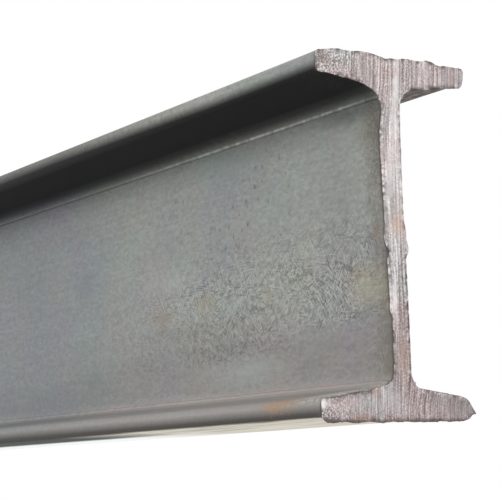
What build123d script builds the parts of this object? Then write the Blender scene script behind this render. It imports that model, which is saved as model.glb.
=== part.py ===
from build123d import *

import os

# A hot-rolled steel I-beam with tapered flanges: the 80 mm size, cut to a one-metre length.
# It stands on its lower flange. X runs along its length, Y across the flanges and Z up.
# The origin is in the middle of its underside, halfway along.

# Driving dimensions, in millimetres
beam_length = 1000.0
depth = 80.0
flange_width = 42.0
web_thickness = 3.9
flange_thickness = 5.9
root_radius = 3.9
toe_radius = 2.3
corner_radius = 0.5

# The inner face of a flange falls away from the web by this share of the distance across
flange_taper_share = 0.14

# A tapered flange has its stated thickness midway between its edge and the middle of the web
gauge_line = flange_width / 4
half_depth = depth / 2
half_flange = flange_width / 2
half_web = web_thickness / 2


def flange_thickness_at(across):
    """Thickness of a flange at a distance across from the middle of the web."""
    return flange_thickness + flange_taper_share * (gauge_line - across)


def from_web(corner):
    """How far a corner of the section lies from the middle of the web."""
    return abs(corner.X)


def from_mid_depth(corner):
    """How far a corner of the section lies above or below mid-depth."""
    return abs(corner.Y)


toe_height = half_depth - flange_thickness_at(half_flange)
root_height = half_depth - flange_thickness_at(half_web)

# The section is drawn about its own centre, on a plane across the beam halfway along
across_beam = Plane(origin=(0, 0, half_depth), x_dir=(0, 1, 0), z_dir=(1, 0, 0))

with BuildPart() as i_beam:
    with BuildSketch(across_beam) as section:
        # A quarter of the outline: the top face, the toe, the tapered inner face and the web
        with BuildLine():
            Polyline(
                (0, half_depth),
                (half_flange, half_depth),
                (half_flange, toe_height),
                (half_web, root_height),
                (half_web, 0),
            )
            mirror(about=Plane.XZ)
            mirror(about=Plane.YZ)
        make_face()

        # The rolls leave a fillet in each root, a round on each toe and a soft outer corner
        root_corners = section.vertices().group_by(from_web)[0]
        fillet(root_corners, root_radius)
        edge_corners = section.vertices().group_by(from_web)[-1]
        toe_corners = edge_corners.group_by(from_mid_depth)[0]
        fillet(toe_corners, toe_radius)
        outer_corners = section.vertices().group_by(from_mid_depth)[-1]
        fillet(outer_corners, corner_radius)
    extrude(amount=beam_length / 2, both=True)

i_beam.part.label = "i_beam"

os.makedirs("parts", exist_ok=True)
export_step(i_beam.part, "parts/i_beam.step")
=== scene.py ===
# %% [markdown]
# # A rolled steel I-beam
# The real object is one metre of structural steel, squeezed to shape between hot rolls and then sawn
# off. So there is one piece to model. Its look comes from two finishes: the blue-grey skin that rolling
# leaves on every long face, and the bright, torn metal of the two sawn ends.
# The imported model, which is loaded first, gives the beam's exact place and size.

# %% Load the frame and measure it
import math

import bmesh
import bpy
from mathutils import Euler, Matrix, Vector, kdtree, noise


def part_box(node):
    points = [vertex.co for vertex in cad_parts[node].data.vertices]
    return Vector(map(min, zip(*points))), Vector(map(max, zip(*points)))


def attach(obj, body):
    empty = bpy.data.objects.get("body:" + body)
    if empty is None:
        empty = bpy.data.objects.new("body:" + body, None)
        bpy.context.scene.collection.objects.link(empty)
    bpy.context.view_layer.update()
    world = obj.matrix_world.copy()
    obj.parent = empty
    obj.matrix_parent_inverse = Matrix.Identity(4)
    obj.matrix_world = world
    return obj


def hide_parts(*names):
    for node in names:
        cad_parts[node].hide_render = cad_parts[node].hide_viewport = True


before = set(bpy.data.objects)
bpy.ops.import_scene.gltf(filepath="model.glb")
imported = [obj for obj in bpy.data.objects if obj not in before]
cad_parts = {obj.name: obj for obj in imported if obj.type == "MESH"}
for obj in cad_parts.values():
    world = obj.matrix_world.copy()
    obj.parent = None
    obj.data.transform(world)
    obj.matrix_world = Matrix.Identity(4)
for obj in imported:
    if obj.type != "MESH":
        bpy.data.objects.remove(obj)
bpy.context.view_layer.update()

beam_low, beam_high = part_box("i_beam")
beam_length, flange_width, depth = [high - low for low, high in zip(beam_low, beam_high)]
MM = 0.001
print(f"beam {beam_length / MM:.0f} x {flange_width / MM:.0f} x {depth / MM:.0f} mm")

# %% [markdown]
# ## The camera
# The beam is seen from just below its underside, looking along it at its sawn end, through a long lens.
# A camera could be aimed with a tracking constraint, but a bearing, a height and a roll say the same in
# three numbers. The camera's own Z axis points backwards, so a bearing of zero looks along +Y and a
# negative height looks up.

# %% Place the camera
CAMERA_PLACE = (0.82622, -0.23141, -0.01152)
CAMERA_BEARING = math.radians(59.288)
CAMERA_HEIGHT = math.radians(-7.115)
CAMERA_ROLL = math.radians(-1.682)
LENS = 131.37
SENSOR_WIDTH = 36.0
NEAREST = 0.01

scene = bpy.context.scene
scene.view_settings.view_transform = "Standard"

camera_data = bpy.data.cameras.new("camera")
camera_data.lens = LENS
camera_data.sensor_width = SENSOR_WIDTH
camera_data.clip_start = NEAREST
camera = bpy.data.objects.new("camera", camera_data)
scene.collection.objects.link(camera)
facing = Euler((math.pi / 2 - CAMERA_HEIGHT, 0, CAMERA_BEARING)).to_matrix()
turn = facing @ Matrix.Rotation(CAMERA_ROLL, 3, "Z")
camera.matrix_world = Matrix.Translation(CAMERA_PLACE) @ turn.to_4x4()
scene.camera = camera
print("camera looks along", [round(value, 3) for value in turn @ Vector((0, 0, -1))])

# %% [markdown]
# ## The web, as a block
# The web is the thin upright wall between the flanges. The section could be drawn as a curve and swept,
# but box modelling keeps every face flat and every edge named by its place, which the later bevels need.
# So a cube is scaled to the web's thickness and the beam's whole depth. Two cuts across it mark where
# the inner faces of the flanges will meet it.

# %% Make the web
web_thickness = 3.9 * MM
flange_thickness = 5.9 * MM
# The inner face of a flange falls away from the web by this share of the distance across
taper_share = 0.14

half_length = beam_length / 2
half_width = flange_width / 2
half_web = web_thickness / 2
gauge_line = flange_width / 4
root_thickness = flange_thickness + taper_share * (gauge_line - half_web)
toe_thickness = flange_thickness + taper_share * (gauge_line - half_width)
CLOSE = 0.001 * MM


def near(value, target):
    """True if two lengths are the same, to a thousandth of a millimetre."""
    return abs(value - target) < CLOSE


bpy.ops.object.select_all(action="DESELECT")
bpy.ops.mesh.primitive_cube_add(size=1, location=(0, 0, depth / 2))
beam = bpy.context.object
beam.name = "rolled_i_beam"
beam.data.name = "rolled_i_beam"
beam.scale = (beam_length, web_thickness, depth)
bpy.ops.object.transform_apply(location=True, rotation=True, scale=True)

bpy.ops.object.mode_set(mode="EDIT")
for height in (root_thickness, depth - root_thickness):
    bpy.ops.mesh.select_all(action="SELECT")
    bpy.ops.mesh.bisect(plane_co=(0, 0, height), plane_no=(0, 0, 1), threshold=CLOSE)
print("web faces:", len(bmesh.from_edit_mesh(beam.data).faces))

# %% [markdown]
# ## The flanges
# A flange is the flat plate along the top or the bottom. A separate box could be joined on, but pulling
# the strips above and below the two cuts out sideways with Extrude keeps the beam in one piece. The
# inner face of a rolled flange slopes, because the rolls have to let go of the hot steel, so its outer
# edge is moved towards the plate's own outer face. Limited Dissolve then joins faces in one plane.

# %% Extrude the flanges and slope their inner faces
FLAT_ANGLE = math.radians(0.5)


def pick(kind, passes):
    """In edit mode, selects only the faces or the edges that pass."""
    bpy.ops.mesh.select_mode(type=kind)
    bpy.ops.mesh.select_all(action="DESELECT")
    shape = bmesh.from_edit_mesh(beam.data)
    for item in shape.faces if kind == "FACE" else shape.edges:
        if passes(item):
            item.select_set(True)
    bmesh.update_edit_mesh(beam.data)


def pick_faces(test):
    """Selects the faces whose middle passes the test."""
    pick("FACE", lambda face: test(face.calc_center_median()))


def pick_long_edges(test):
    """Selects the edges that run along the beam and have ends that pass the test."""
    def passes(edge):
        start, stop = [corner.co for corner in edge.verts]
        return not near(start.x, stop.x) and test(start) and test(stop)
    pick("EDGE", passes)


def in_flange(place):
    """True at the height of a flange, where it meets the web."""
    return abs(place.z - depth / 2) > depth / 2 - root_thickness


overhang = half_width - half_web
for side in (-1, 1):
    pick_faces(lambda place: near(place.y, side * half_web) and in_flange(place))
    bpy.ops.mesh.extrude_region_move(TRANSFORM_OT_translate={"value": (0, side * overhang, 0)})

slope = root_thickness - toe_thickness
for inner_height, move in ((root_thickness, -slope), (depth - root_thickness, slope)):
    pick_long_edges(lambda place: near(abs(place.y), half_width) and near(place.z, inner_height))
    bpy.ops.transform.translate(value=(0, 0, move))

bpy.ops.mesh.select_all(action="SELECT")
bpy.ops.mesh.dissolve_limited(angle_limit=FLAT_ANGLE)
print("faces of the sharp section:", len(bmesh.from_edit_mesh(beam.data).faces))

# %% [markdown]
# ## Rounds that the rolls leave
# No corner of a rolled section is sharp. Each root, where web and flange meet, has a wide fillet. Each
# toe has a smaller round on its inner edge. The outer corners are only just soft at the top, and worn
# rounder at the bottom, where the beam is dragged. All are bevels of the long edges. A bevel's offset is
# measured along the faces, and a circle of radius r touches two faces that turn by an angle t at
# r * tan(t / 2) from their corner.

# %% Bevel the roots, toes and corners
root_radius = 3.9 * MM
toe_radius = 2.3 * MM
top_corner_radius = 0.8 * MM
worn_corner_radius = 1.6 * MM
ROOT_SEGMENTS = 12
TOE_SEGMENTS = 8
CORNER_SEGMENTS = 5

slope_turn = math.pi / 2 - math.atan(taper_share)
right_angle = math.pi / 2
roots = (root_thickness, depth - root_thickness)
toes = (toe_thickness, depth - toe_thickness)
for out, heights, radius, turn_angle, segments in (
        (half_web, roots, root_radius, slope_turn, ROOT_SEGMENTS),
        (half_width, toes, toe_radius, slope_turn, TOE_SEGMENTS),
        (half_width, (depth,), top_corner_radius, right_angle, CORNER_SEGMENTS),
        (half_width, (0.0,), worn_corner_radius, right_angle, CORNER_SEGMENTS)):
    pick_long_edges(lambda place: near(abs(place.y), out) and any(near(place.z, z) for z in heights))
    offset = radius * math.tan(turn_angle / 2)
    bpy.ops.mesh.bevel(offset=offset, offset_type="OFFSET", segments=segments, affect="EDGES")
print("faces of the rounded section:", len(bmesh.from_edit_mesh(beam.data).faces))

# %% [markdown]
# ## The bead along each root
# Where two rolls meet, a little steel squeezes into the gap. It leaves a thin raised bead that runs the
# whole length of the beam, and it catches the light below the upper flange. A separate strip could be
# laid there, but the fillet already has an edge where the bead runs, so that edge is lifted.

# %% Lift the bead
BEAD_HEIGHT = 0.3 * MM
BEAD_REACH = 0.15 * MM
# Which of the fillet's edges is lifted, in the upper and in the lower roots
BEAD_STEPS = {1: 5, -1: 6}

root_rise = root_radius * math.tan(slope_turn / 2)
arc_centre = half_web + root_radius
arc_height = depth / 2 - root_thickness - root_rise
bead_up = {}
for half, step in BEAD_STEPS.items():
    bead_angle = slope_turn * step / ROOT_SEGMENTS
    bead_across = arc_centre - root_radius * math.cos(bead_angle)
    bead_up[half] = half * (arc_height + root_radius * math.sin(bead_angle))
    for side in (-1, 1):
        line = Vector((0, side * bead_across, depth / 2 + bead_up[half]))
        pick_long_edges(lambda place: (place - line).yz.length < BEAD_REACH)
        lift = Vector((0, side * math.cos(bead_angle), -half * math.sin(bead_angle))) * BEAD_HEIGHT
        bpy.ops.transform.translate(value=lift)
print("beads from mid-depth, in mm:", [round(height / MM, 2) for height in bead_up.values()])

# %% [markdown]
# ## A little out of true
# Rolled steel is never exactly the size in the book. This length is a shade shallow, and the right toe
# of its upper flange is thin. The section could be drawn again, but both are small moves of edges that
# are there already.

# %% Move the lower flange and thin one toe
SHALLOW = 0.6 * MM
THIN_TOE = 0.8 * MM
TOE_ZONE = 4 * MM
TOE_TOP = 2 * MM

pick_long_edges(lambda place: place.z < depth / 2)
bpy.ops.transform.translate(value=(0, 0, SHALLOW))
pick_long_edges(lambda place: place.y > half_width - TOE_ZONE and depth / 2 < place.z < depth - TOE_TOP)
bpy.ops.transform.translate(value=(0, 0, THIN_TOE))
bead_up[-1] += SHALLOW
print(f"true depth {(depth - SHALLOW) / MM:.1f} mm")

# %% [markdown]
# ## Finer faces at the sawn ends
# A saw leaves a face that wanders and is scored from top to bottom, with a ragged rim. Flat polygons
# can't show that, so the two ends need many small faces. Subdivide would make them on the long sides
# too. Bisect cuts only where it is told: a few rings close to each end, then, with the rest of the beam
# hidden, rows and columns across the end faces. Columns are closer, as the saw marks run up and down.

# %% Cut the ends into rings, rows and columns
RING_DEPTHS = (0.4 * MM, 1.0 * MM, 2.0 * MM, 4.0 * MM, 12.0 * MM)
FINE_DEPTH = 4.0 * MM
ROW_PITCH = 0.5 * MM
COLUMN_PITCH = 0.25 * MM
SNAP = 0.02 * MM


def bisect_all(place, normal):
    """Cuts every face that isn't hidden along a plane."""
    bpy.ops.mesh.select_all(action="SELECT")
    bpy.ops.mesh.bisect(plane_co=place, plane_no=normal, threshold=SNAP)


for ring_depth in RING_DEPTHS:
    for end in (-1, 1):
        bisect_all((end * (half_length - ring_depth), 0, 0), (1, 0, 0))

pick_faces(lambda place: abs(place.x) < half_length - FINE_DEPTH + CLOSE)
bpy.ops.mesh.hide(unselected=False)
for row in range(round(depth / ROW_PITCH)):
    bisect_all((0, 0, (row + 0.5) * ROW_PITCH), (0, 0, 1))
for column in range(round(flange_width / COLUMN_PITCH)):
    bisect_all((0, (column + 0.5) * COLUMN_PITCH - half_width, 0), (0, 1, 0))
bpy.ops.mesh.reveal(select=False)
print("faces with fine ends:", len(bmesh.from_edit_mesh(beam.data).faces))

# %% [markdown]
# ## Skin, cut and rim
# The end faces are bare metal and all others are skin, so each face gets one of two material slots.
# Where the two meet there is a burred rim, about a millimetre wide, that gets painted shadow and glints.
# It could be painted as vertex colours. Here a number on every vertex marks it, 1 on the rim and 0 a
# rim's width away, and a k-d tree finds the rim's nearest point. This is done while the ends are still
# flat.

# %% Give the cut its own slot and mark its rim
RIM_WIDTH = 1.0 * MM
RIM_ON_SIDE = 0.6

bpy.ops.object.mode_set(mode="OBJECT")
mesh = beam.data
mesh.materials.append(None)
mesh.materials.append(None)
cut_corners = set()
side_corners = set()
for face in mesh.polygons:
    in_cut = all(half_length - abs(mesh.vertices[index].co.x) < CLOSE for index in face.vertices)
    face.material_index = 1 if in_cut else 0
    (cut_corners if in_cut else side_corners).update(face.vertices)
rim = cut_corners & side_corners
rim_places = kdtree.KDTree(len(rim))
for index in rim:
    rim_places.insert(mesh.vertices[index].co, index)
rim_places.balance()
rim_mark = mesh.attributes.new("rim", "FLOAT", "POINT")
for vertex in mesh.vertices:
    if vertex.index in cut_corners:
        from_rim = rim_places.find(vertex.co)[2]
        rim_mark.data[vertex.index].value = max(0.0, 1 - from_rim / RIM_WIDTH)
    elif near(abs(vertex.co.x), half_length - RING_DEPTHS[0]):
        rim_mark.data[vertex.index].value = RIM_ON_SIDE
print(f"{len(cut_corners)} corners in the sawn ends, {len(rim)} of them on the rim")

# %% [markdown]
# ## The saw cut
# The blade drifted as it went through: the cut leans, bows and is stepped on the web, where a second
# stroke met the first. Sculpting would give this by eye. Moving the vertices in code gives the same
# result on every run. Each rule below says how far the metal stands out from a flat cut, in millimetres,
# at a place on the section.

# %% Rules for a cut that wanders and is scored
LEAN = -1.3
TWIST = -0.36
BOW_ACROSS = -0.575
BOW_UP = 0.37
CURL = 1.09
WEB_CHAMFER = 1.45
WEB_CHAMFER_RISE = 2.2
WEB_CHAMFER_FOOT = -0.42
WEB_CHAMFER_TOP = 0.86
WEB_CHAMFER_FADE = 0.26
WEB_STEP = 0.6
WEB_STEP_RISE = -0.9
WEB_STEP_END = 0.92
WEB_STEP_FADE = 0.15
SCORE_WIDTH = 0.55
SCORE_LENGTH = 22.0
SCORE_DEPTH = 0.1
GRAIN_WIDTH = 0.7
GRAIN_DEPTH = 0.07
GRAIN_SEED = 7.3


def limited(share):
    """Keeps a share between 0 and 1."""
    return max(0.0, min(1.0, share))


def wander(across, up):
    """How far the cut as a whole stands out. Both places run from -1 to 1 over the section."""
    drift = LEAN * across + TWIST * across * up
    return drift + BOW_ACROSS * across ** 2 + BOW_UP * up ** 2 + CURL * up ** 3


def web_chamfer(across_mm, up):
    """How far the left edge of the web is cut back, as a slanted facet that ends in a step."""
    if up < WEB_CHAMFER_FOOT:
        return 0.0
    share = limited(-across_mm / (half_web / MM))
    inside_web = limited((WEB_CHAMFER_TOP - up) / WEB_CHAMFER_FADE)
    return -share * inside_web * max(0.0, WEB_CHAMFER + WEB_CHAMFER_RISE * up)


def web_step(across_mm, up):
    """How far the right edge of the web stands out."""
    share = limited(across_mm / (half_web / MM))
    inside_web = limited((WEB_STEP_END - abs(up)) / WEB_STEP_FADE)
    return share * inside_web * (WEB_STEP + WEB_STEP_RISE * up)


def score(across_mm, up_mm, seed):
    """The saw's scoring and the torn grain of the metal."""
    lines = noise.noise((across_mm / SCORE_WIDTH, up_mm / SCORE_LENGTH, seed))
    grain = noise.noise((across_mm / GRAIN_WIDTH, up_mm / GRAIN_WIDTH, seed + GRAIN_SEED))
    return SCORE_DEPTH * lines + GRAIN_DEPTH * grain


print(f"the cut stands out {wander(-1, 1):.1f} mm at the top left, {wander(1, 1):.1f} at the top right")

# %% [markdown]
# ## Burrs, lips and dents
# The saw also pushed metal over the rim: a raised lip along the top edge with a step in the middle, a
# ragged lip under the bottom edge, a tooth on the web and a filled-out root. Toes are out of square. A
# grab brush could do it. Here each is a soft pull round one place, with its size written down.

# %% Rules for a rim that is pulled about
# Across, up from the underside, reach, and the move across and up, all in millimetres
PULLS = (
    (-21.0, 78.5, 3.0, -0.3, 0.0),
    (-21.0, 75.6, 2.6, -0.5, -0.6),
    (21.0, 75.6, 2.4, 0.1, -0.6),
    (-15.5, 80.0, 5.0, 0.0, 0.65),
    (-8.5, 80.0, 5.8, 0.0, 0.75),
    (-2.2, 80.0, 1.2, 0.0, -0.3),
    (4.5, 80.0, 4.5, 0.0, 0.35),
    (10.0, 80.0, 3.2, 0.0, 0.6),
    (13.3, 80.0, 1.6, 0.0, -0.2),
    (1.95, 40.5, 3.5, 0.45, 0.0),
    (1.95, 37.4, 2.2, 0.8, 0.0),
    (-1.95, 40.5, 3.0, -0.5, 0.0),
    (-1.95, 36.8, 1.5, 0.7, 0.0),
    (-1.95, 24.5, 2.0, -0.2, 0.0),
    (-20.2, 4.0, 1.8, -0.6, 0.4),
    (-3.8, 72.0, 5.6, -0.75, -0.75),
    (-5.5, 6.8, 3.8, 0.0, 0.75),
    (-12.0, 5.8, 5.0, 0.0, 0.35),
    (21.0, 1.5, 1.5, 0.5, -0.75),
    (20.5, 4.4, 3.5, -0.5, -0.8),
    (20.5, 0.0, 3.5, 0.0, 0.9),
)
RAG_WIDTH = 0.9
RAG_DEPTH = 0.14
RAG_SEED = 1.7
LIP_DROP = 0.45
LIP_RAG = 0.25
LIP_WIDTH = 3.4
LIP_REACH = 0.7
LIP_SEED = 3.1
LIP_ROUGHNESS = 0.6
LIP_GAP = 2.3
LIP_OCTAVES = 3
FLARE_TOP = 15.0
FLARE_FADE = 6.0
TOE_DROP_START = 5.0
TOE_DROP_RUN = 14.0
TOE_DROP_TOP = 79.0
TOE_DROP_FADE = 3.0


def pulled(across_mm, up_mm):
    """The sum of the pulls at a place on the section."""
    move = Vector((0, 0))
    for at_across, at_up, reach, pull_across, pull_up in PULLS:
        distance = math.hypot(across_mm - at_across, up_mm - at_up) / reach
        if distance < 1:
            move += Vector((pull_across, pull_up)) * (1 - distance ** 2) ** 2
    return move


def bottom_lip(across_mm, up_mm, seed):
    """How far the lip under the bottom edge hangs down."""
    near_edge = max(0.0, 1 - up_mm / LIP_REACH)
    place = (across_mm / LIP_WIDTH, seed, LIP_SEED)
    uneven = noise.fractal(place, LIP_ROUGHNESS, LIP_GAP, LIP_OCTAVES)
    return -near_edge * (LIP_DROP + LIP_RAG * uneven)


def flare(up_mm):
    """How far the saw has pushed the end of the lower flange down."""
    return -SHALLOW / MM * limited((FLARE_TOP - up_mm) / FLARE_FADE)


def toe_drop(across_mm, up_mm):
    """How far it has pushed the thin toe down."""
    if up_mm <= depth / 2 / MM:
        return 0.0
    towards_toe = limited((across_mm - TOE_DROP_START) / TOE_DROP_RUN)
    low_down = limited((TOE_DROP_TOP - up_mm) / TOE_DROP_FADE)
    return -THIN_TOE / MM * towards_toe * low_down


def ragged(across_mm, up_mm, seed):
    """How far the rim stands out or is bitten in."""
    return RAG_DEPTH * noise.noise((across_mm / RAG_WIDTH, up_mm / RAG_WIDTH, seed + RAG_SEED))


print(len(PULLS), "pulls on each end")

# %% [markdown]
# ## Move the ends
# Now every vertex near an end is moved by the sum of the rules. The wandering of the cut is shared out
# over the last rings, so that the sides stay smooth, while the burrs die away within a millimetre or so.
# Displace modifiers could do part of this, but the rules need to know where on the section they are.
# The far end is the same cut turned round, with another seed for its scoring.

# %% Shape both ends
WANDER_DEPTH = 12.0
RIM_DEPTH = 1.2
END_SEEDS = {-1: 10.0, 1: 30.0}
SMOOTH_ANGLE = math.radians(35)

outward = [Vector((vertex.normal.y, vertex.normal.z)) for vertex in mesh.vertices]
moved = 0
for vertex in mesh.vertices:
    from_end = (half_length - abs(vertex.co.x)) / MM
    if from_end > WANDER_DEPTH:
        continue
    end = math.copysign(1, vertex.co.x)
    seed = END_SEEDS[end]
    across_mm = vertex.co.y / MM * end
    up_mm = vertex.co.z / MM
    drop = flare(up_mm)
    up_mm += drop
    across = across_mm / (half_width / MM)
    up = (up_mm - depth / 2 / MM) / (depth / 2 / MM)
    out = wander(across, up) + web_chamfer(across_mm, up) + web_step(across_mm, up)
    out *= 1 - from_end / WANDER_DEPTH
    if from_end < CLOSE / MM:
        out += score(across_mm, up_mm, seed)
    fade = math.exp(-from_end / RIM_DEPTH)
    shift = pulled(across_mm, up_mm) * fade
    lip = bottom_lip(across_mm, up_mm, seed) * fade
    bite = outward[vertex.index] * ragged(across_mm, up_mm, seed) * fade
    vertex.co.x += end * out * MM
    vertex.co.y += (end * shift.x + bite.x) * MM
    drop += toe_drop(vertex.co.y / MM, up_mm)
    vertex.co.z += (shift.y + lip + bite.y + drop * fade) * MM
    moved += 1
bpy.ops.object.shade_smooth_by_angle(angle=SMOOTH_ANGLE)
print(f"{moved} vertices moved")

# %% [markdown]
# ## Helpers for materials
# Colours are written as sRGB hex values, as a colour picker shows them, and one function turns them into
# the linear values that the shaders use. Another adds a node, sets it up and links it, so that each
# material below reads as a list of its layers. A coat is a colour that shows where all its masks let it
# through. Stains, and on the cut painted highlights and shadows too, are coats: soft ovals whose edges a
# noise makes ragged, so that a mark can be put where it is on the real beam.

# %% Colour and node helpers
OVAL_CORE = 0.6
OVAL_EDGE = 1.4


def colour(hex_value):
    """An sRGB hex colour as linear red, green, blue and alpha."""
    channels = [int(hex_value[index:index + 2], 16) / 255 for index in (1, 3, 5)]
    linear = [
        value / 12.92 if value <= 0.04045 else ((value + 0.055) / 1.055) ** 2.4 for value in channels]
    return (*linear, 1.0)


def add_node(tree, kind, inputs=None, stops=None, **settings):
    """Adds a node. An input takes a value, a socket, or a node, which stands for its first output."""
    node = tree.nodes.new("ShaderNode" + kind)
    for name, value in settings.items():
        setattr(node, name, value)
    for name, value in (inputs or {}).items():
        shown = [socket for socket in node.inputs if socket.enabled]
        socket = shown[name] if isinstance(name, int) else next(s for s in shown if s.name == name)
        if isinstance(value, bpy.types.Node):
            value = next(s for s in value.outputs if s.enabled)
        if isinstance(value, bpy.types.NodeSocket):
            tree.links.new(value, socket)
        else:
            socket.default_value = value
    for index, (position, hex_value) in enumerate(stops or ()):
        ramp = node.color_ramp.elements
        stop = ramp[index] if index < 2 else ramp.new(position)
        stop.position = position
        stop.color = colour(hex_value)
    return node


def between(value, start, stop, low=0.0, high=1.0):
    """Inputs for a Map Range node: from low to high, while a value goes from start to stop."""
    return {"Value": value, "From Min": start, "From Max": stop, "To Min": low, "To Max": high}


def new_material(name):
    """An empty node material and its tree."""
    material = bpy.data.materials.new(name)
    material.use_nodes = True
    material.node_tree.nodes.clear()
    return material, material.node_tree


def beam_place(tree):
    """A place on the beam in millimetres: all of it, then along, across and up."""
    metres = add_node(tree, "TexCoord").outputs["Object"]
    place = add_node(tree, "VectorMath", {0: metres, "Scale": 1 / MM}, operation="SCALE")
    return (place, *add_node(tree, "SeparateXYZ", {"Vector": place}).outputs)


def add_coat(tree, base, masks, tone, blend="MIX"):
    """Lays a hex colour, or a node's, over another colour. The masks are multiplied together."""
    share = masks[0]
    for mask in masks[1:]:
        share = add_node(tree, "Math", {0: share, 1: mask}, operation="MULTIPLY")
    coat = colour(tone) if isinstance(tone, str) else tone
    colours = {"Factor": share, "A": base, "B": coat}
    return add_node(tree, "Mix", colours, data_type="RGBA", blend_type=blend)


def add_ovals(tree, base, first, shaded_second_face, rag, ovals):
    """Lays soft ovals: stains, and on the cut painted highlights and shadows too. Each has a place and a
    reach in two directions, a colour and a strength.
    """
    for place_1, place_2, reach_1, reach_2, hex_value, strength in ovals:
        off_1 = add_node(tree, "MapRange", between(first, place_1, place_1 + reach_1), clamp=False)
        off_2 = add_node(tree, "MapRange", between(shaded_second_face, place_2, place_2 + reach_2), clamp=False)
        off = add_node(tree, "CombineXYZ", {"X": off_1, "Y": off_2})
        off = add_node(tree, "VectorMath", {0: off}, operation="LENGTH").outputs["Value"]
        off = add_node(tree, "Math", {0: off, 1: rag}, operation="ADD")
        share = add_node(tree, "MapRange", between(off, OVAL_CORE, OVAL_EDGE, strength, 0.0))
        base = add_coat(tree, base, [share], hex_value)
    return base


print("mid grey in linear light:", [round(value, 3) for value in colour("#808080")])

# %% [markdown]
# ## Mill scale: finding a place on it
# Steel leaves the rolls red-hot and grows a thin skin of oxide as it cools. On the beam it is a matt,
# slightly green grey, clouded, rubbed and stained. A picture of steel could be wrapped round the beam,
# but patterns made from distances in millimetres have the right size everywhere and no seam. So the
# first nodes say how far a place is from the nearer end, from the middle of the web and from mid-depth.

# %% Measure distances
# A pair of numbers is where a soft step starts and ends, in millimetres or in the tone of a noise
WEB_EDGE = (2.0, 4.0)
RAG_SIZE = 2.5

# Iron oxide: a matt skin, not metallic, with a faint sheen where it is rubbed
mill_scale, tree = new_material("hot_rolled_mill_scale")
place, along, across, up = beam_place(tree)
far_along = add_node(tree, "Math", {0: along}, operation="ABSOLUTE")
from_end = add_node(tree, "Math", {0: half_length / MM, 1: far_along}, operation="SUBTRACT")
level = add_node(tree, "Math", {0: up, 1: depth / 2 / MM}, operation="SUBTRACT")
far_out = add_node(tree, "Math", {0: across}, operation="ABSOLUTE")
on_web = add_node(tree, "MapRange", between(far_out, *WEB_EDGE, 1.0, 0.0))
# This noise makes the edges of marks ragged
rag = add_node(tree, "TexNoise", {"Vector": place, "Scale": 1 / RAG_SIZE, "Detail": 5.0})
print("nodes that find a place:", len(tree.nodes))

# %% [markdown]
# ## Mill scale: the grey
# The grey drifts from cool to warm over the width of a hand. Low on the web it is browner, as if it had
# stood in the wet, and away from the ends it is bluer. Over that lie faint tints, a fine grain that the
# rolls drew out along the beam, and long streaks. These could be brushed on, but several noises, each
# with its own size, are as even over a metre as the rolling was.

# %% Mix clouds, tints and grain
CLOUD_SIZE = 45.0
DAMP_LEVELS = (-24.0, -10.0)
DAMP_SHARE = 0.85
INLAND = (70.0, 190.0)
INLAND_SHARE = 0.85
TINT_SIZE = 20.0
TINT_SHARE = 0.11
GRAIN_SIZE = 0.8
GRAIN_CONTRAST = 0.13
ROLLED_STRETCH = 2.1
STREAK_LENGTH = 30.0
STREAK_WIDTH = 1.1
STREAK_CONTRAST = 0.05
MID_TONES = (0.3, 0.7)

clouds = add_node(tree, "TexNoise", {"Vector": place, "Scale": 1 / CLOUD_SIZE, "Detail": 3.0})
base = add_node(tree, "ValToRGB", {"Fac": clouds}, stops=[(0.35, "#909494"), (0.65, "#9C9E97")])
damp = add_node(tree, "MapRange", between(level, *DAMP_LEVELS, DAMP_SHARE, 0.0))
base = add_coat(tree, base, [damp], "#868280")
inland = add_node(tree, "MapRange", between(from_end, *INLAND, 0.0, INLAND_SHARE))
base = add_coat(tree, base, [inland], "#7F8386")
hues = add_node(tree, "TexNoise", {"Vector": place, "Scale": 1 / TINT_SIZE, "Detail": 5.0})
base = add_coat(tree, base, [TINT_SHARE], hues.outputs["Color"], "OVERLAY")

drawn_out = add_node(tree, "Mapping", {"Vector": place, "Scale": (1 / ROLLED_STRETCH, 1, 1)})
grain = add_node(tree, "TexNoise", {"Vector": drawn_out, "Scale": 1 / GRAIN_SIZE, "Detail": 4.0})
streaked = add_node(tree, "Mapping", {
    "Vector": place, "Scale": (1 / STREAK_LENGTH, 1 / STREAK_WIDTH, 1 / STREAK_WIDTH)})
streaks = add_node(tree, "TexNoise", {"Vector": streaked, "Scale": 1.0, "Detail": 4.0})
for pattern, contrast in ((grain, GRAIN_CONTRAST), (streaks, STREAK_CONTRAST)):
    tone = add_node(tree, "MapRange", between(pattern, *MID_TONES, 1 - contrast, 1 + contrast))
    base = add_coat(tree, base, [1.0], tone, "MULTIPLY")
print("nodes with the grey:", len(tree.nodes))

# %% [markdown]
# ## Mill scale: the rubbed zone
# Hands, chains and other beams have rubbed the web at mid-height near its ends, and a little beside the
# cut. A mask could be painted on an unwrapped mesh. Here it is a product of soft steps: near the end,
# below a top, above a foot, in patches and on the web only. The ragged noise is added to the height
# first, so that the zone has no straight edge.

# %% Find where it is rubbed
HANDLED = (72.5, 145.0)
HANDLED_LEAST = 0.15
RUBBED_RAG = 8.0
RUBBED_TOP = (0.0, 14.0)
RUBBED_FOOT = (-14.5, -11.5)
RUBBED_LEAST = 0.1
BESIDE_CUT = (4.0, 14.0)
BESIDE_CUT_SHARE = 0.45
PATCH_SIZE = 14.0
PATCH_TONES = (0.35, 0.56)
PATCH_LEAST = 0.7

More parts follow.
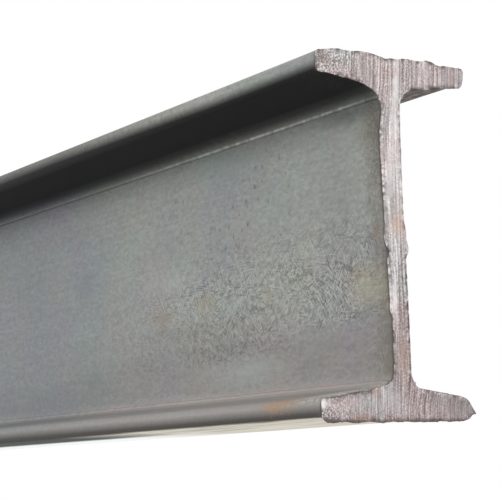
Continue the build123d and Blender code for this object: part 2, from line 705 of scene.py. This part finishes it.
near_end = add_node(tree, "MapRange", between(from_end, *HANDLED, 1.0, HANDLED_LEAST))
rubbed_edge = add_node(tree, "Math", {0: rag, 1: RUBBED_RAG}, operation="MULTIPLY")
rubbed_level = add_node(tree, "Math", {0: level, 1: rubbed_edge}, operation="ADD")
below_top = add_node(tree, "MapRange", between(rubbed_level, *RUBBED_TOP, 1.0, RUBBED_LEAST))
above_foot = add_node(tree, "MapRange", between(rubbed_level, *RUBBED_FOOT, RUBBED_LEAST, 1.0))
mid_web = add_node(tree, "Math", {0: below_top, 1: above_foot}, operation="MULTIPLY")
beside_cut = add_node(tree, "MapRange", between(from_end, *BESIDE_CUT, BESIDE_CUT_SHARE, 0.0))
mid_web = add_node(tree, "Math", {0: mid_web, 1: beside_cut}, operation="MAXIMUM")
patches = add_node(tree, "TexNoise", {"Vector": drawn_out, "Scale": 1 / PATCH_SIZE, "Detail": 3.0})
patch_mask = add_node(tree, "MapRange", between(patches, *PATCH_TONES, PATCH_LEAST, 1.0))
handled = near_end
for mask in (mid_web, patch_mask, on_web):
    handled = add_node(tree, "Math", {0: handled, 1: mask}, operation="MULTIPLY")
print("nodes with the rubbed zone:", len(tree.nodes))

# %% [markdown]
# ## Mill scale: flecks and scratches
# The rubbing leaves short pale and dark flecks that lie mostly one way in each place, and hair-thin
# scratches. Below the zone the dark flecks go on, in a band. Each fleck could be a stroke of its own,
# but a stretched noise gives thousands: it is turned five ways, and a broad noise lets each of the five
# show in its own places. The scratches are the contour lines of another noise.

# %% Add flecks and scratches
FLECK_TURNS = (3, 38, 66, 121, 152)
FLECK_SHIFT = (3.0, 0.0, 5.0)
FLECK_TONES = {"pale": (0.55, 0.68), "dark": (0.45, 0.32)}
DASH_LENGTH = 3.0
DASH_WIDTH = 0.42
FLOW_SIZE = 8.0
FLOW_TONES = (0.4, 0.52)
HAIR_SPACING = 7.0
HAIR_TONE = 0.5
HAIR_WIDTH = 0.014
BAND_TOP = (-12.0, -14.0)
BAND_FOOT = (-22.0, -17.0)
BAND_START = (32.0, 58.0)

flecks = {}
for turn_degrees in FLECK_TURNS:
    turned = add_node(tree, "Mapping", {
        "Vector": place,
        "Location": [turn_degrees * step for step in FLECK_SHIFT],
        "Rotation": (0.0, math.radians(turn_degrees), 0.0),
        "Scale": (DASH_LENGTH, 1.0, DASH_WIDTH),
    }, vector_type="TEXTURE")
    dashes = add_node(tree, "TexNoise", {"Vector": turned, "Scale": 1.0, "Detail": 2.0})
    moved_on = add_node(tree, "Mapping", {"Vector": drawn_out, "Location": (0.0, turn_degrees, 0.0)})
    flow = add_node(tree, "TexNoise", {"Vector": moved_on, "Scale": 1 / FLOW_SIZE, "Detail": 2.0})
    flow_mask = add_node(tree, "MapRange", between(flow, *FLOW_TONES))
    for name, tones in FLECK_TONES.items():
        fleck = add_node(tree, "MapRange", between(dashes, *tones))
        fleck = add_node(tree, "Math", {0: fleck, 1: flow_mask}, operation="MULTIPLY")
        if name in flecks:
            fleck = add_node(tree, "Math", {0: flecks[name], 1: fleck}, operation="MAXIMUM")
        flecks[name] = fleck

hair = add_node(tree, "TexNoise", {"Vector": drawn_out, "Scale": 1 / HAIR_SPACING, "Detail": 3.0})
off_line = add_node(tree, "Math", {0: hair, 1: HAIR_TONE}, operation="SUBTRACT")
off_line = add_node(tree, "Math", {0: off_line}, operation="ABSOLUTE")
hairs = add_node(tree, "MapRange", between(off_line, 0.0, HAIR_WIDTH, 1.0, 0.0))

dark_band = near_end
for value, limits in ((rubbed_level, BAND_TOP), (rubbed_level, BAND_FOOT), (from_end, BAND_START)):
    mask = add_node(tree, "MapRange", between(value, *limits))
    dark_band = add_node(tree, "Math", {0: dark_band, 1: mask}, operation="MULTIPLY")
dark_band = add_node(tree, "Math", {0: dark_band, 1: handled}, operation="MAXIMUM")

for marks, zone, hex_value, strength in (
        (flecks["dark"], dark_band, "#4C4C47", 0.9),
        (flecks["pale"], handled, "#BFC0B7", 0.75),
        (hairs, handled, "#54554F", 0.6)):
    base = add_coat(tree, base, [marks, zone, strength], hex_value)
print("nodes with the flecks:", len(tree.nodes))

# %% [markdown]
# ## Mill scale: pits and the band beside the cut
# Where flakes of the skin have come off, small dark pits lie in loose groups high on the web. A Voronoi
# pattern gives one dot to a cell, and the grain pushes the dots out of round. Beside each cut there is a
# browner band, where the saw warmed the steel. A plain gradient would have a straight edge, so the
# ragged noise is taken off it.

# %% Add pits and the saw band
PIT_SPACING = 2.5
PIT_WANDER = 1.6
PIT_RADII = (0.06, 0.3)
PIT_SHARE = 0.6
PIT_LEVELS = (-2.0, 6.0)
PIT_START = (25.0, 45.0)
GROUP_SIZE = 9.0
GROUP_TONES = (0.44, 0.54)
CUT_BAND = 6.0
CUT_BAND_SHARE = 0.75

push = add_node(tree, "VectorMath", {0: grain.outputs["Color"], "Scale": PIT_WANDER}, operation="SCALE")
crooked = add_node(tree, "VectorMath", {0: place, 1: push}, operation="ADD")
dots = add_node(tree, "TexVoronoi", {"Vector": crooked, "Scale": 1 / PIT_SPACING})
pits = add_node(tree, "MapRange", between(dots, *PIT_RADII, PIT_SHARE, 0.0))
groups = add_node(tree, "TexNoise", {"Vector": drawn_out, "Scale": 1 / GROUP_SIZE, "Detail": 3.0})
group_mask = add_node(tree, "MapRange", between(groups, *GROUP_TONES))
upper_web = add_node(tree, "MapRange", between(level, *PIT_LEVELS))
off_saw = add_node(tree, "MapRange", between(from_end, *PIT_START))
base = add_coat(tree, base, [pits, group_mask, near_end, off_saw, upper_web], "#55574F")

band_edge = add_node(tree, "Math", {0: rag, 1: 2 * CUT_BAND}, operation="MULTIPLY")
band_place = add_node(tree, "Math", {0: from_end, 1: band_edge}, operation="SUBTRACT")
band = add_node(tree, "MapRange", between(band_place, -CUT_BAND, CUT_BAND / 2, CUT_BAND_SHARE, 0.0))
base = add_coat(tree, base, [band, on_web], "#6C645B")
print("nodes with pits and band:", len(tree.nodes))

# %% [markdown]
# ## Mill scale: painted shade under the upper flange
# The underside of the upper flange and its root fillet down to the bead get painted shade, almost black,
# which reaches round onto the toe, and farther round away from the end. On the right side of the web the
# painted shade is lighter and browner. Away from the end the upper toes are darker. More material slots
# could hold these, but their edges are soft, so they are coats.

# %% Paint shade under the upper flange and darken the far toes
FAR_TOE = (45.0, 130.0)
TOE_OUT = (16.0, 18.5)
TOE_LEVELS = (28.0, 32.0)
PAINTED_SHADE_INNER = (32.1, 33.7)
PAINTED_SHADE_OUTER = (36.0, 38.2)
RIGHT_SHADE_SIDE = (0.0, 1.0)

# Away from the end the upper toes are darker
far_toe = add_node(tree, "MapRange", between(from_end, *FAR_TOE))
on_toe = add_node(tree, "MapRange", between(far_out, *TOE_OUT))
high_up = add_node(tree, "MapRange", between(level, *TOE_LEVELS))
base = add_coat(tree, base, [far_toe, on_toe, high_up], "#D2CFC9", "MULTIPLY")

# Painted shade under the upper flange, almost black, lighter and browner on the right of the web
inner = add_node(tree, "MapRange", between(level, *PAINTED_SHADE_INNER))
shade_level = add_node(tree, "Math", {0: level, 1: far_toe}, operation="SUBTRACT")
outer = add_node(tree, "MapRange", between(shade_level, *PAINTED_SHADE_OUTER, 1.0, 0.0))
right_shade_tone = add_node(tree, "ValToRGB", {"Fac": rag}, stops=[(0.4, "#5E4E44"), (0.6, "#B3A396")])
right_shade_side = add_node(tree, "MapRange", between(across, *RIGHT_SHADE_SIDE))
painted_shade_tone = add_coat(tree, colour("#181618"), [right_shade_side], right_shade_tone)
base = add_coat(tree, base, [inner, outer], painted_shade_tone)
print("nodes with the shelter:", len(tree.nodes))

# %% [markdown]
# ## Mill scale: dust, and painted highlights on the beads
# Reddish dust has settled on the slope of the lower flange. The beads stand proud and get a painted
# highlight, pale on the upper bead and pinkish on the lower one, in a broken line that stops short of
# the cut. The highlight could be found from the mesh's curvature, but each bead's height is known from
# when it was lifted.

# %% Add dust and painted highlights on the beads
DUST_LEVELS = (-29.5, -32.0)
DUST_RUN = (70.0, 150.0)
DUST_SHARES = (0.5, 0.2)
ROOT_OUT = (3.6, 4.2)
HIGHLIGHT_BREAK_TONES = (0.38, 0.58)
HIGHLIGHT_BREAK_LEAST = 0.2
OFF_CUT = (5.0, 15.0)
OFF_CUT_LEAST = 0.15
UPPER_BEAD_END = (70.0, 125.0)
LOWER_BEAD_SHARE = 0.6
BEAD_CORE = 0.15

slope_dust = add_node(tree, "MapRange", between(level, *DUST_LEVELS))
dust_left = add_node(tree, "MapRange", between(from_end, *DUST_RUN, *DUST_SHARES))
base = add_coat(tree, base, [slope_dust, dust_left], "#A29C98")

on_root = add_node(tree, "MapRange", between(far_out, *ROOT_OUT, 1.0, 0.0))
highlight_breaks = add_node(tree, "MapRange", between(rag, *HIGHLIGHT_BREAK_TONES, HIGHLIGHT_BREAK_LEAST, 1.0))
off_cut = add_node(tree, "MapRange", between(from_end, *OFF_CUT, OFF_CUT_LEAST, 1.0))
not_far = add_node(tree, "MapRange", between(from_end, *UPPER_BEAD_END, 1.0, 0.0))
# Painted highlights along the beads: pale on the upper one, pinkish on the lower one
for height, hex_value, half_line, shown in (
        (bead_up[1], "#D6D8D2", 0.5, not_far),
        (bead_up[-1], "#A3938F", 0.9, LOWER_BEAD_SHARE)):
    off_bead = add_node(tree, "Math", {0: level, 1: height / MM}, operation="SUBTRACT")
    off_bead = add_node(tree, "Math", {0: off_bead}, operation="ABSOLUTE")
    bead_line = add_node(tree, "MapRange", between(off_bead, BEAD_CORE, half_line, 1.0, 0.0))
    base = add_coat(tree, base, [bead_line, on_root, highlight_breaks, off_cut, shown], hex_value)
print("nodes with dust and beads:", len(tree.nodes))

# %% [markdown]
# ## Mill scale: painted shade on the foot, and the worn underside
# The foot of the lower flange gets painted shade, darker towards its bottom edge, and its underside is
# bright, because dragging has worn it bare. Farther along, the left half of the underside still has its
# skin.
# The worn part is metal, so the same mask also drives Metallic and Roughness at the end. A second
# material would need a sharp border.

# %% Paint shade on the foot and bare the underside
FOOT_SHADE_LEVELS = (-36.3, -38.3)
FOOT_SHADE_SHARE = 0.85
UNDER_LEVELS = (-39.0, -39.35)
FAR_UNDER = (95.0, 140.0)
LEFT_HALF = (-4.0, 4.0)

# Painted shade, darker towards the bottom of the lower flange's toe
foot_shade = add_node(tree, "MapRange", between(level, *FOOT_SHADE_LEVELS))
base = add_coat(tree, base, [foot_shade, FOOT_SHADE_SHARE], "#45423E")
under = add_node(tree, "MapRange", between(level, *UNDER_LEVELS))
worn_tone = add_node(tree, "ValToRGB", {"Fac": streaks}, stops=[(0.36, "#6E685B"), (0.5, "#CFC8B5")])
far_under = add_node(tree, "MapRange", between(from_end, *FAR_UNDER))
left_half = add_node(tree, "MapRange", between(across, *LEFT_HALF, 1.0, 0.0))
far_tone = add_coat(tree, colour("#F4F6F5"), [left_half], "#4A5351")
worn_tone = add_coat(tree, worn_tone, [far_under], far_tone)
base = add_coat(tree, base, [under], worn_tone)
unworn = add_node(tree, "Math", {0: far_under, 1: left_half}, operation="MULTIPLY")
worn_part = add_node(tree, "MapRange", between(unworn, 0.0, 1.0, 1.0, 0.0))
bare = add_node(tree, "Math", {0: worn_part, 1: under}, operation="MULTIPLY")
print("nodes with the foot:", len(tree.nodes))

# %% [markdown]
# ## Mill scale: stains, and the finished surface
# Last come the marks that belong to this beam alone: pale, brown and dark stains, specks of rust, and a
# painted shadow line on the rim. They could be decals, but an oval with a place and a reach is enough
# for a soft stain, and a fine noise breaks an oval up into specks. The grain also gives a faint bump.

# %% Stain the skin and finish it
# Distance from the end, height, reach along and up, all in millimetres, then colour and strength
STAINS = (
    (9.0, 30.0, 12.0, 8.0, "#A79F84", 0.5),
    (5.0, 66.0, 11.0, 8.0, "#6A5C50", 0.35),
    (14.0, 70.0, 18.0, 3.5, "#5E605D", 0.5),
    (190.0, 11.0, 80.0, 10.0, "#696B6D", 0.5),
    (100.0, 41.0, 22.0, 5.0, "#ABADA8", 0.5),
    (52.0, 32.5, 1.7, 2.6, "#A57A58", 0.3),
    (107.0, 31.0, 12.0, 4.5, "#8E7E72", 0.45),
    (84.0, 33.0, 9.0, 4.5, "#9E987E", 0.4),
    (150.0, 17.0, 10.0, 6.0, "#747872", 0.5),
    (85.0, 25.5, 48.0, 6.0, "#77726D", 0.38),
    (64.0, 15.0, 30.0, 6.0, "#A0A9A4", 0.45),
    (71.0, 31.5, 7.0, 4.5, "#ABB0A7", 0.45),
    (70.0, 68.0, 30.0, 6.0, "#86958F", 0.5),
    (5.0, 42.0, 2.0, 3.0, "#8A6B58", 0.5),
    (9.8, 24.0, 6.0, 4.0, "#7C7E83", 0.5),
    (155.0, 46.0, 9.0, 8.0, "#767E84", 0.4),
)
SPECKLED = (
    (18.5, 4.0, 8.5, 2.2, "#AC8252", 0.75),
    (13.0, 33.5, 3.0, 2.0, "#9A7050", 0.35),
    (5.0, 6.0, 7.0, 1.8, "#D6D1CB", 0.75),
    (3.0, 62.0, 6.0, 14.0, "#57504A", 0.35),
)
SPECK_SIZE = 0.6
SPECK_TONES = (0.4, 0.6)
SPECK_RAG = 1.3
RIM_SHADOW_SHARE = 0.8
SKIN_ROUGHNESS = 0.62
WORN_ROUGHNESS = 0.45
SKIN_SPECULAR = 0.13
SKIN_BUMP = 0.35
SKIN_RELIEF = 0.05 * MM

base = add_ovals(tree, base, from_end, up, rag, STAINS)
specks = add_node(tree, "TexNoise", {"Vector": place, "Scale": 1 / SPECK_SIZE, "Detail": 2.0})
specks = add_node(tree, "MapRange", between(specks, *SPECK_TONES, SPECK_RAG, 0.0))
base = add_ovals(tree, base, from_end, up, specks, SPECKLED)
# A painted shadow line along the rim of the cut
on_rim = add_node(tree, "Attribute", attribute_name="rim").outputs["Fac"]
base = add_coat(tree, base, [on_rim, RIM_SHADOW_SHARE], "#3A342F")

roughness = add_node(tree, "MapRange", between(bare, 0.0, 1.0, SKIN_ROUGHNESS, WORN_ROUGHNESS))
bump = add_node(tree, "Bump", {"Height": grain, "Strength": SKIN_BUMP, "Distance": SKIN_RELIEF})
surface = add_node(tree, "BsdfPrincipled", {
    "Base Color": base, "Metallic": bare, "Roughness": roughness, "Normal": bump,
    "Specular IOR Level": SKIN_SPECULAR})
add_node(tree, "OutputMaterial", {"Surface": surface})
mesh.materials[0] = mill_scale
print(mill_scale.name, "has", len(tree.nodes), "nodes")

# %% [markdown]
# ## Sawn steel: lines and tone
# The saw has laid bare the metal, which is pale and slightly pink. Its lines run up and down, and on
# the left of the flanges it is torn rather than cut. An anisotropic gloss could stand for the lines, but
# they are wide enough to see, so a stretched noise draws them in the bump and in the colour, where their
# pale and dark tones also paint the light and shade of the grooves. The lower flange is darker, and the
# face that a second stroke left low on the right of the web gets painted shade.

# %% Draw the saw lines
LINE_WIDTH = 0.39
LINE_LENGTH = 14.0
LINE_DEPTH = 10.0
TORN_GRAIN = 0.38
TORN_RUN = (-19.0, -9.0)
TORN_SHARES = (0.85, 0.35)
PINK_SIZE = 9.0
CUT_WEB_EDGE = (2.4, 3.4)
STROKE_TOP = 44.0
STROKE_FOOT = 20.0
STROKE_BLUR = 0.3
LOW_FLANGE = (5.0, 14.0)
DARKER_SHARE = 0.6

# Freshly cut steel: a broken, silvery metal, half matt, with fine upright lines
sawn_steel, tree = new_material("sawn_bare_steel")
place, _, across, up = beam_place(tree)
stretched = add_node(tree, "Mapping", {
    "Vector": place, "Scale": (1 / LINE_DEPTH, 1 / LINE_WIDTH, 1 / LINE_LENGTH)})
lines = add_node(tree, "TexNoise", {
    "Vector": stretched, "Scale": 1.0, "Detail": 3.0, "Roughness": 0.7})
torn = add_node(tree, "TexNoise", {"Vector": place, "Scale": 1 / TORN_GRAIN, "Detail": 3.0})
torn_share = add_node(tree, "MapRange", between(across, *TORN_RUN, *TORN_SHARES))
tone = add_node(tree, "Mix", {"Factor": torn_share, "A": lines, "B": torn}, data_type="FLOAT")
# The lines' pale and dark tones paint the light and shade of the scored grooves as well as the metal's
# tone
base = add_node(tree, "ValToRGB", {"Fac": tone},
                stops=[(0.38, "#746C6D"), (0.62, "#F3EFEE"), (0.5, "#B1A9A8")])
pink_place = add_node(tree, "TexNoise", {"Vector": place, "Scale": 1 / PINK_SIZE, "Detail": 2.0})
pink = add_node(tree, "ValToRGB", {"Fac": pink_place}, stops=[(0.4, "#F8FFFF"), (0.6, "#FFF8F7")])
base = add_coat(tree, base, [1.0], pink, "MULTIPLY")

# The border of the second stroke slants across the web from its foot to its top
slant_share = web_thickness / MM / (STROKE_TOP - STROKE_FOOT)
slant = add_node(tree, "Math", {0: up, 1: STROKE_FOOT}, operation="SUBTRACT")
slant = add_node(tree, "Math", {0: slant, 1: slant_share}, operation="MULTIPLY")
past = add_node(tree, "Math", {0: across, 1: slant}, operation="SUBTRACT")
left_edge = -half_web / MM
shaded_second_face = add_node(tree, "MapRange", between(past, left_edge - STROKE_BLUR, left_edge + STROKE_BLUR))
far_out = add_node(tree, "Math", {0: across}, operation="ABSOLUTE")
on_web = add_node(tree, "MapRange", between(far_out, *CUT_WEB_EDGE, 1.0, 0.0))
shaded_second_face = add_node(tree, "Math", {0: shaded_second_face, 1: on_web}, operation="MULTIPLY")
low_down = add_node(tree, "MapRange", between(up, *LOW_FLANGE, 1.0, 0.0))
darker_faces = add_node(tree, "Math", {0: shaded_second_face, 1: low_down}, operation="MAXIMUM")
# Painted shade on the second stroke's face; the lower flange is darker too
base = add_coat(tree, base, [darker_faces, DARKER_SHARE], "#D9D0D2", "MULTIPLY")
print("nodes with the saw lines:", len(tree.nodes))

# %% [markdown]
# ## Sawn steel: burr, stains, rust and painted light and shade
# The burr on the rim gets painted glints in places and painted shadow in others. The cut also has pale
# strips on the web that are painted highlights, dull toes, dark notches and edge bits that are painted
# shadow, and the first breath of rust. These could be painted by hand. As on the skin, stains,
# highlights and shadows are ovals and the rim is the number on each vertex, so both finishes change
# alike towards their border.

# %% Stain the cut, paint its highlights and shadows, and finish it
# Distance across, height, reach across and up, all in millimetres, then colour and strength
CUT_STAINS_AND_PAINTED_LIGHT = (
    # Pale strips on the web are painted highlights
    (0.0, 55.0, 4.0, 32.0, "#EFE7E6", 0.3),
    (0.8, 76.0, 1.3, 9.0, "#E9E6E6", 0.8),
    (-0.6, 55.0, 0.9, 9.0, "#F4F0EF", 0.35),
    (-1.0, 26.5, 1.3, 7.0, "#F4EFEE", 0.6),
    (0.5, 43.0, 2.2, 4.0, "#C9A998", 0.5),
    (0.3, 13.5, 2.6, 6.5, "#AE9184", 0.5),
    (-19.5, 78.2, 2.6, 2.2, "#85736D", 0.8),
    (17.0, 77.5, 9.0, 5.0, "#988F92", 0.5),
    (8.0, 77.0, 5.0, 5.0, "#A59EA3", 0.3),
    # Three dark notches along the lower edge of the upper flange's right half are painted shadow
    (7.0, 73.5, 4.5, 1.3, "#453B36", 0.95),
    (12.0, 74.3, 5.0, 1.3, "#453B36", 0.95),
    (17.5, 75.0, 5.5, 1.3, "#453B36", 0.95),
    (-2.5, 4.5, 5.0, 6.0, "#CCCECE", 0.4),
    (-9.0, 3.8, 5.0, 3.0, "#B9C0C1", 0.3),
    # Dark bits along the top edge are painted shadow under the burr
    (-2.8, 80.1, 2.2, 1.1, "#5A5250", 0.75),
    (11.5, 80.1, 3.0, 0.9, "#5A5250", 0.6),
    (14.6, 79.9, 2.4, 0.9, "#5A5250", 0.7),
    (-20.8, 3.6, 1.7, 2.2, "#F6F3F0", 0.9),
    (-19.8, -0.2, 3.0, 1.5, "#4A3B36", 0.9),
    (21.4, 2.2, 2.0, 2.6, "#54433D", 0.9),
    (17.6, 77.0, 1.5, 1.7, "#A0765C", 0.45),
    (16.0, 2.5, 10.0, 5.0, "#8A8281", 0.65),
    (-15.0, 3.5, 7.0, 4.0, "#C9B7B6", 0.5),
    (-7.0, 6.5, 2.4, 2.6, "#B58E7C", 0.35),
    (-11.0, 0.6, 5.0, 1.2, "#A3705C", 0.45),
    (-8.5, 76.5, 5.5, 5.5, "#857C79", 0.3),
    (0.6, 65.0, 1.2, 11.0, "#F6F2F1", 0.55),
    (-2.0, 45.5, 1.4, 4.0, "#5F524C", 0.45),
)
BURR_SIZE = 1.6
BURR_GLINT_TONES = (0.57, 0.68)
BURR_SHADOW_TONES = (0.5, 0.4)
RUST_SIZE = 5.0
RUST_TONES = (0.52, 0.72)
RUST_SHARE = 0.25
LIP_SHADE_LEVELS = (0.5, -0.1)
LIP_SHADE_SHARE = 0.8
CUT_METALLIC = 0.5
CUT_ROUGHNESS = 0.5
CUT_BUMP = 0.5
CUT_RELIEF = 0.08 * MM

on_rim = add_node(tree, "Attribute", attribute_name="rim").outputs["Fac"]
burr = add_node(tree, "TexNoise", {"Vector": place, "Scale": 1 / BURR_SIZE, "Detail": 2.0})
# Painted glints and painted shadow along the burred rim
for tones, hex_value in ((BURR_GLINT_TONES, "#E4DFDD"), (BURR_SHADOW_TONES, "#4C4442")):
    share = add_node(tree, "MapRange", between(burr, *tones))
    base = add_coat(tree, base, [share, on_rim], hex_value)

rag = add_node(tree, "TexNoise", {"Vector": place, "Scale": 1 / RAG_SIZE, "Detail": 5.0})
base = add_ovals(tree, base, across, up, rag, CUT_STAINS_AND_PAINTED_LIGHT)

rust_place = add_node(tree, "TexNoise", {"Vector": place, "Scale": 1 / RUST_SIZE, "Detail": 4.0})
rust = add_node(tree, "MapRange", between(rust_place, *RUST_TONES, 0.0, RUST_SHARE))
base = add_coat(tree, base, [rust], "#C79F8E", "MULTIPLY")
# The lip under the bottom edge gets dark brown painted shade
lip = add_node(tree, "MapRange", between(up, *LIP_SHADE_LEVELS, 0.0, LIP_SHADE_SHARE))
base = add_coat(tree, base, [lip], "#5A4A44")

bump = add_node(tree, "Bump", {"Height": tone, "Strength": CUT_BUMP, "Distance": CUT_RELIEF})
surface = add_node(tree, "BsdfPrincipled", {
    "Base Color": base, "Metallic": CUT_METALLIC, "Roughness": CUT_ROUGHNESS, "Normal": bump})
add_node(tree, "OutputMaterial", {"Surface": surface})
mesh.materials[1] = sawn_steel
print(sawn_steel.name, "has", len(tree.nodes), "nodes")

# %% [markdown]
# ## Light and background
# The beam was lit by soft light from low down all round, so the upright faces are bright and the
# underside of the upper flange stays dark. Lamps would do it, but a sky that is brightest near the
# horizon lights every side alike. The camera, and reflections, see plain white instead of that sky.

# %% Light the studio
LOW_LIGHT = 3.0
HIGH_LIGHT = 0.4
GROUND_LIGHT = 0.05
HORIZON = (-0.02, 0.02)
HIGH_SKY = (0.35, 0.5)
WHITE = (1, 1, 1, 1)

world = bpy.data.worlds.new("soft_studio")
world.use_nodes = True
scene.world = world
tree = world.node_tree
tree.nodes.clear()
path = add_node(tree, "LightPath").outputs
seen = add_node(tree, "Math", {0: path["Is Camera Ray"], 1: path["Is Glossy Ray"]}, operation="MAXIMUM")
seen = add_node(tree, "Math", {0: seen, 1: path["Is Transmission Ray"]}, operation="MAXIMUM")
sky_place = add_node(tree, "TexCoord").outputs["Generated"]
rise = add_node(tree, "SeparateXYZ", {"Vector": sky_place}).outputs["Z"]
low_sky = add_node(tree, "MapRange", between(rise, *HORIZON, GROUND_LIGHT, LOW_LIGHT))
high_sky = add_node(tree, "MapRange", between(rise, *HIGH_SKY, 0.0, HIGH_LIGHT - LOW_LIGHT))
strength = add_node(tree, "Math", {0: low_sky, 1: high_sky}, operation="ADD")
light = add_node(tree, "Background", {"Color": WHITE, "Strength": strength})
white = add_node(tree, "Background", {"Color": WHITE, "Strength": 1.0})
both = add_node(tree, "MixShader", {0: seen, 1: light, 2: white})
add_node(tree, "OutputWorld", {"Surface": both})
print("light from", HIGH_LIGHT, "overhead to", LOW_LIGHT, "low down")

# %% [markdown]
# ## The floor
# A studio floor is pale and takes the shadow. This one is a large plane just under the beam. The camera
# is a little below it and looks up, so the paint shows only from above and is clear from below. It could
# be hidden from the camera altogether, but then no view from above would have a shadow.

# %% Lay the floor
FLOOR_DROP = 0.8 * MM
FLOOR_SIZE = 30.0

bpy.ops.object.select_all(action="DESELECT")
bpy.ops.mesh.primitive_plane_add(size=FLOOR_SIZE, location=(0, 0, -FLOOR_DROP))
floor = bpy.context.object
floor.name = "floor"
# Matt paint: pale and even, so that only the beam's shadow shows on it
floor_paint, tree = new_material("pale_floor_paint")
seen = add_node(tree, "LightPath").outputs["Is Camera Ray"]
below = add_node(tree, "NewGeometry").outputs["Backfacing"]
above = add_node(tree, "Math", {0: 1.0, 1: below}, operation="SUBTRACT")
shown = add_node(tree, "Math", {0: seen, 1: above}, operation="MULTIPLY")
paint = add_node(tree, "BsdfDiffuse", {"Color": colour("#F2F2F0")})
clear = add_node(tree, "BsdfTransparent")
both = add_node(tree, "MixShader", {0: shown, 1: clear, 2: paint})
add_node(tree, "OutputMaterial", {"Surface": both})
floor.data.materials.append(floor_paint)
print(f"floor {FLOOR_DROP / MM:.1f} mm below the origin")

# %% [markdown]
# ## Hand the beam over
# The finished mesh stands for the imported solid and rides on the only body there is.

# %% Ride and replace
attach(beam, "root")
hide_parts("i_beam")

print("triangles:", sum(len(face.vertices) - 2 for face in mesh.polygons))
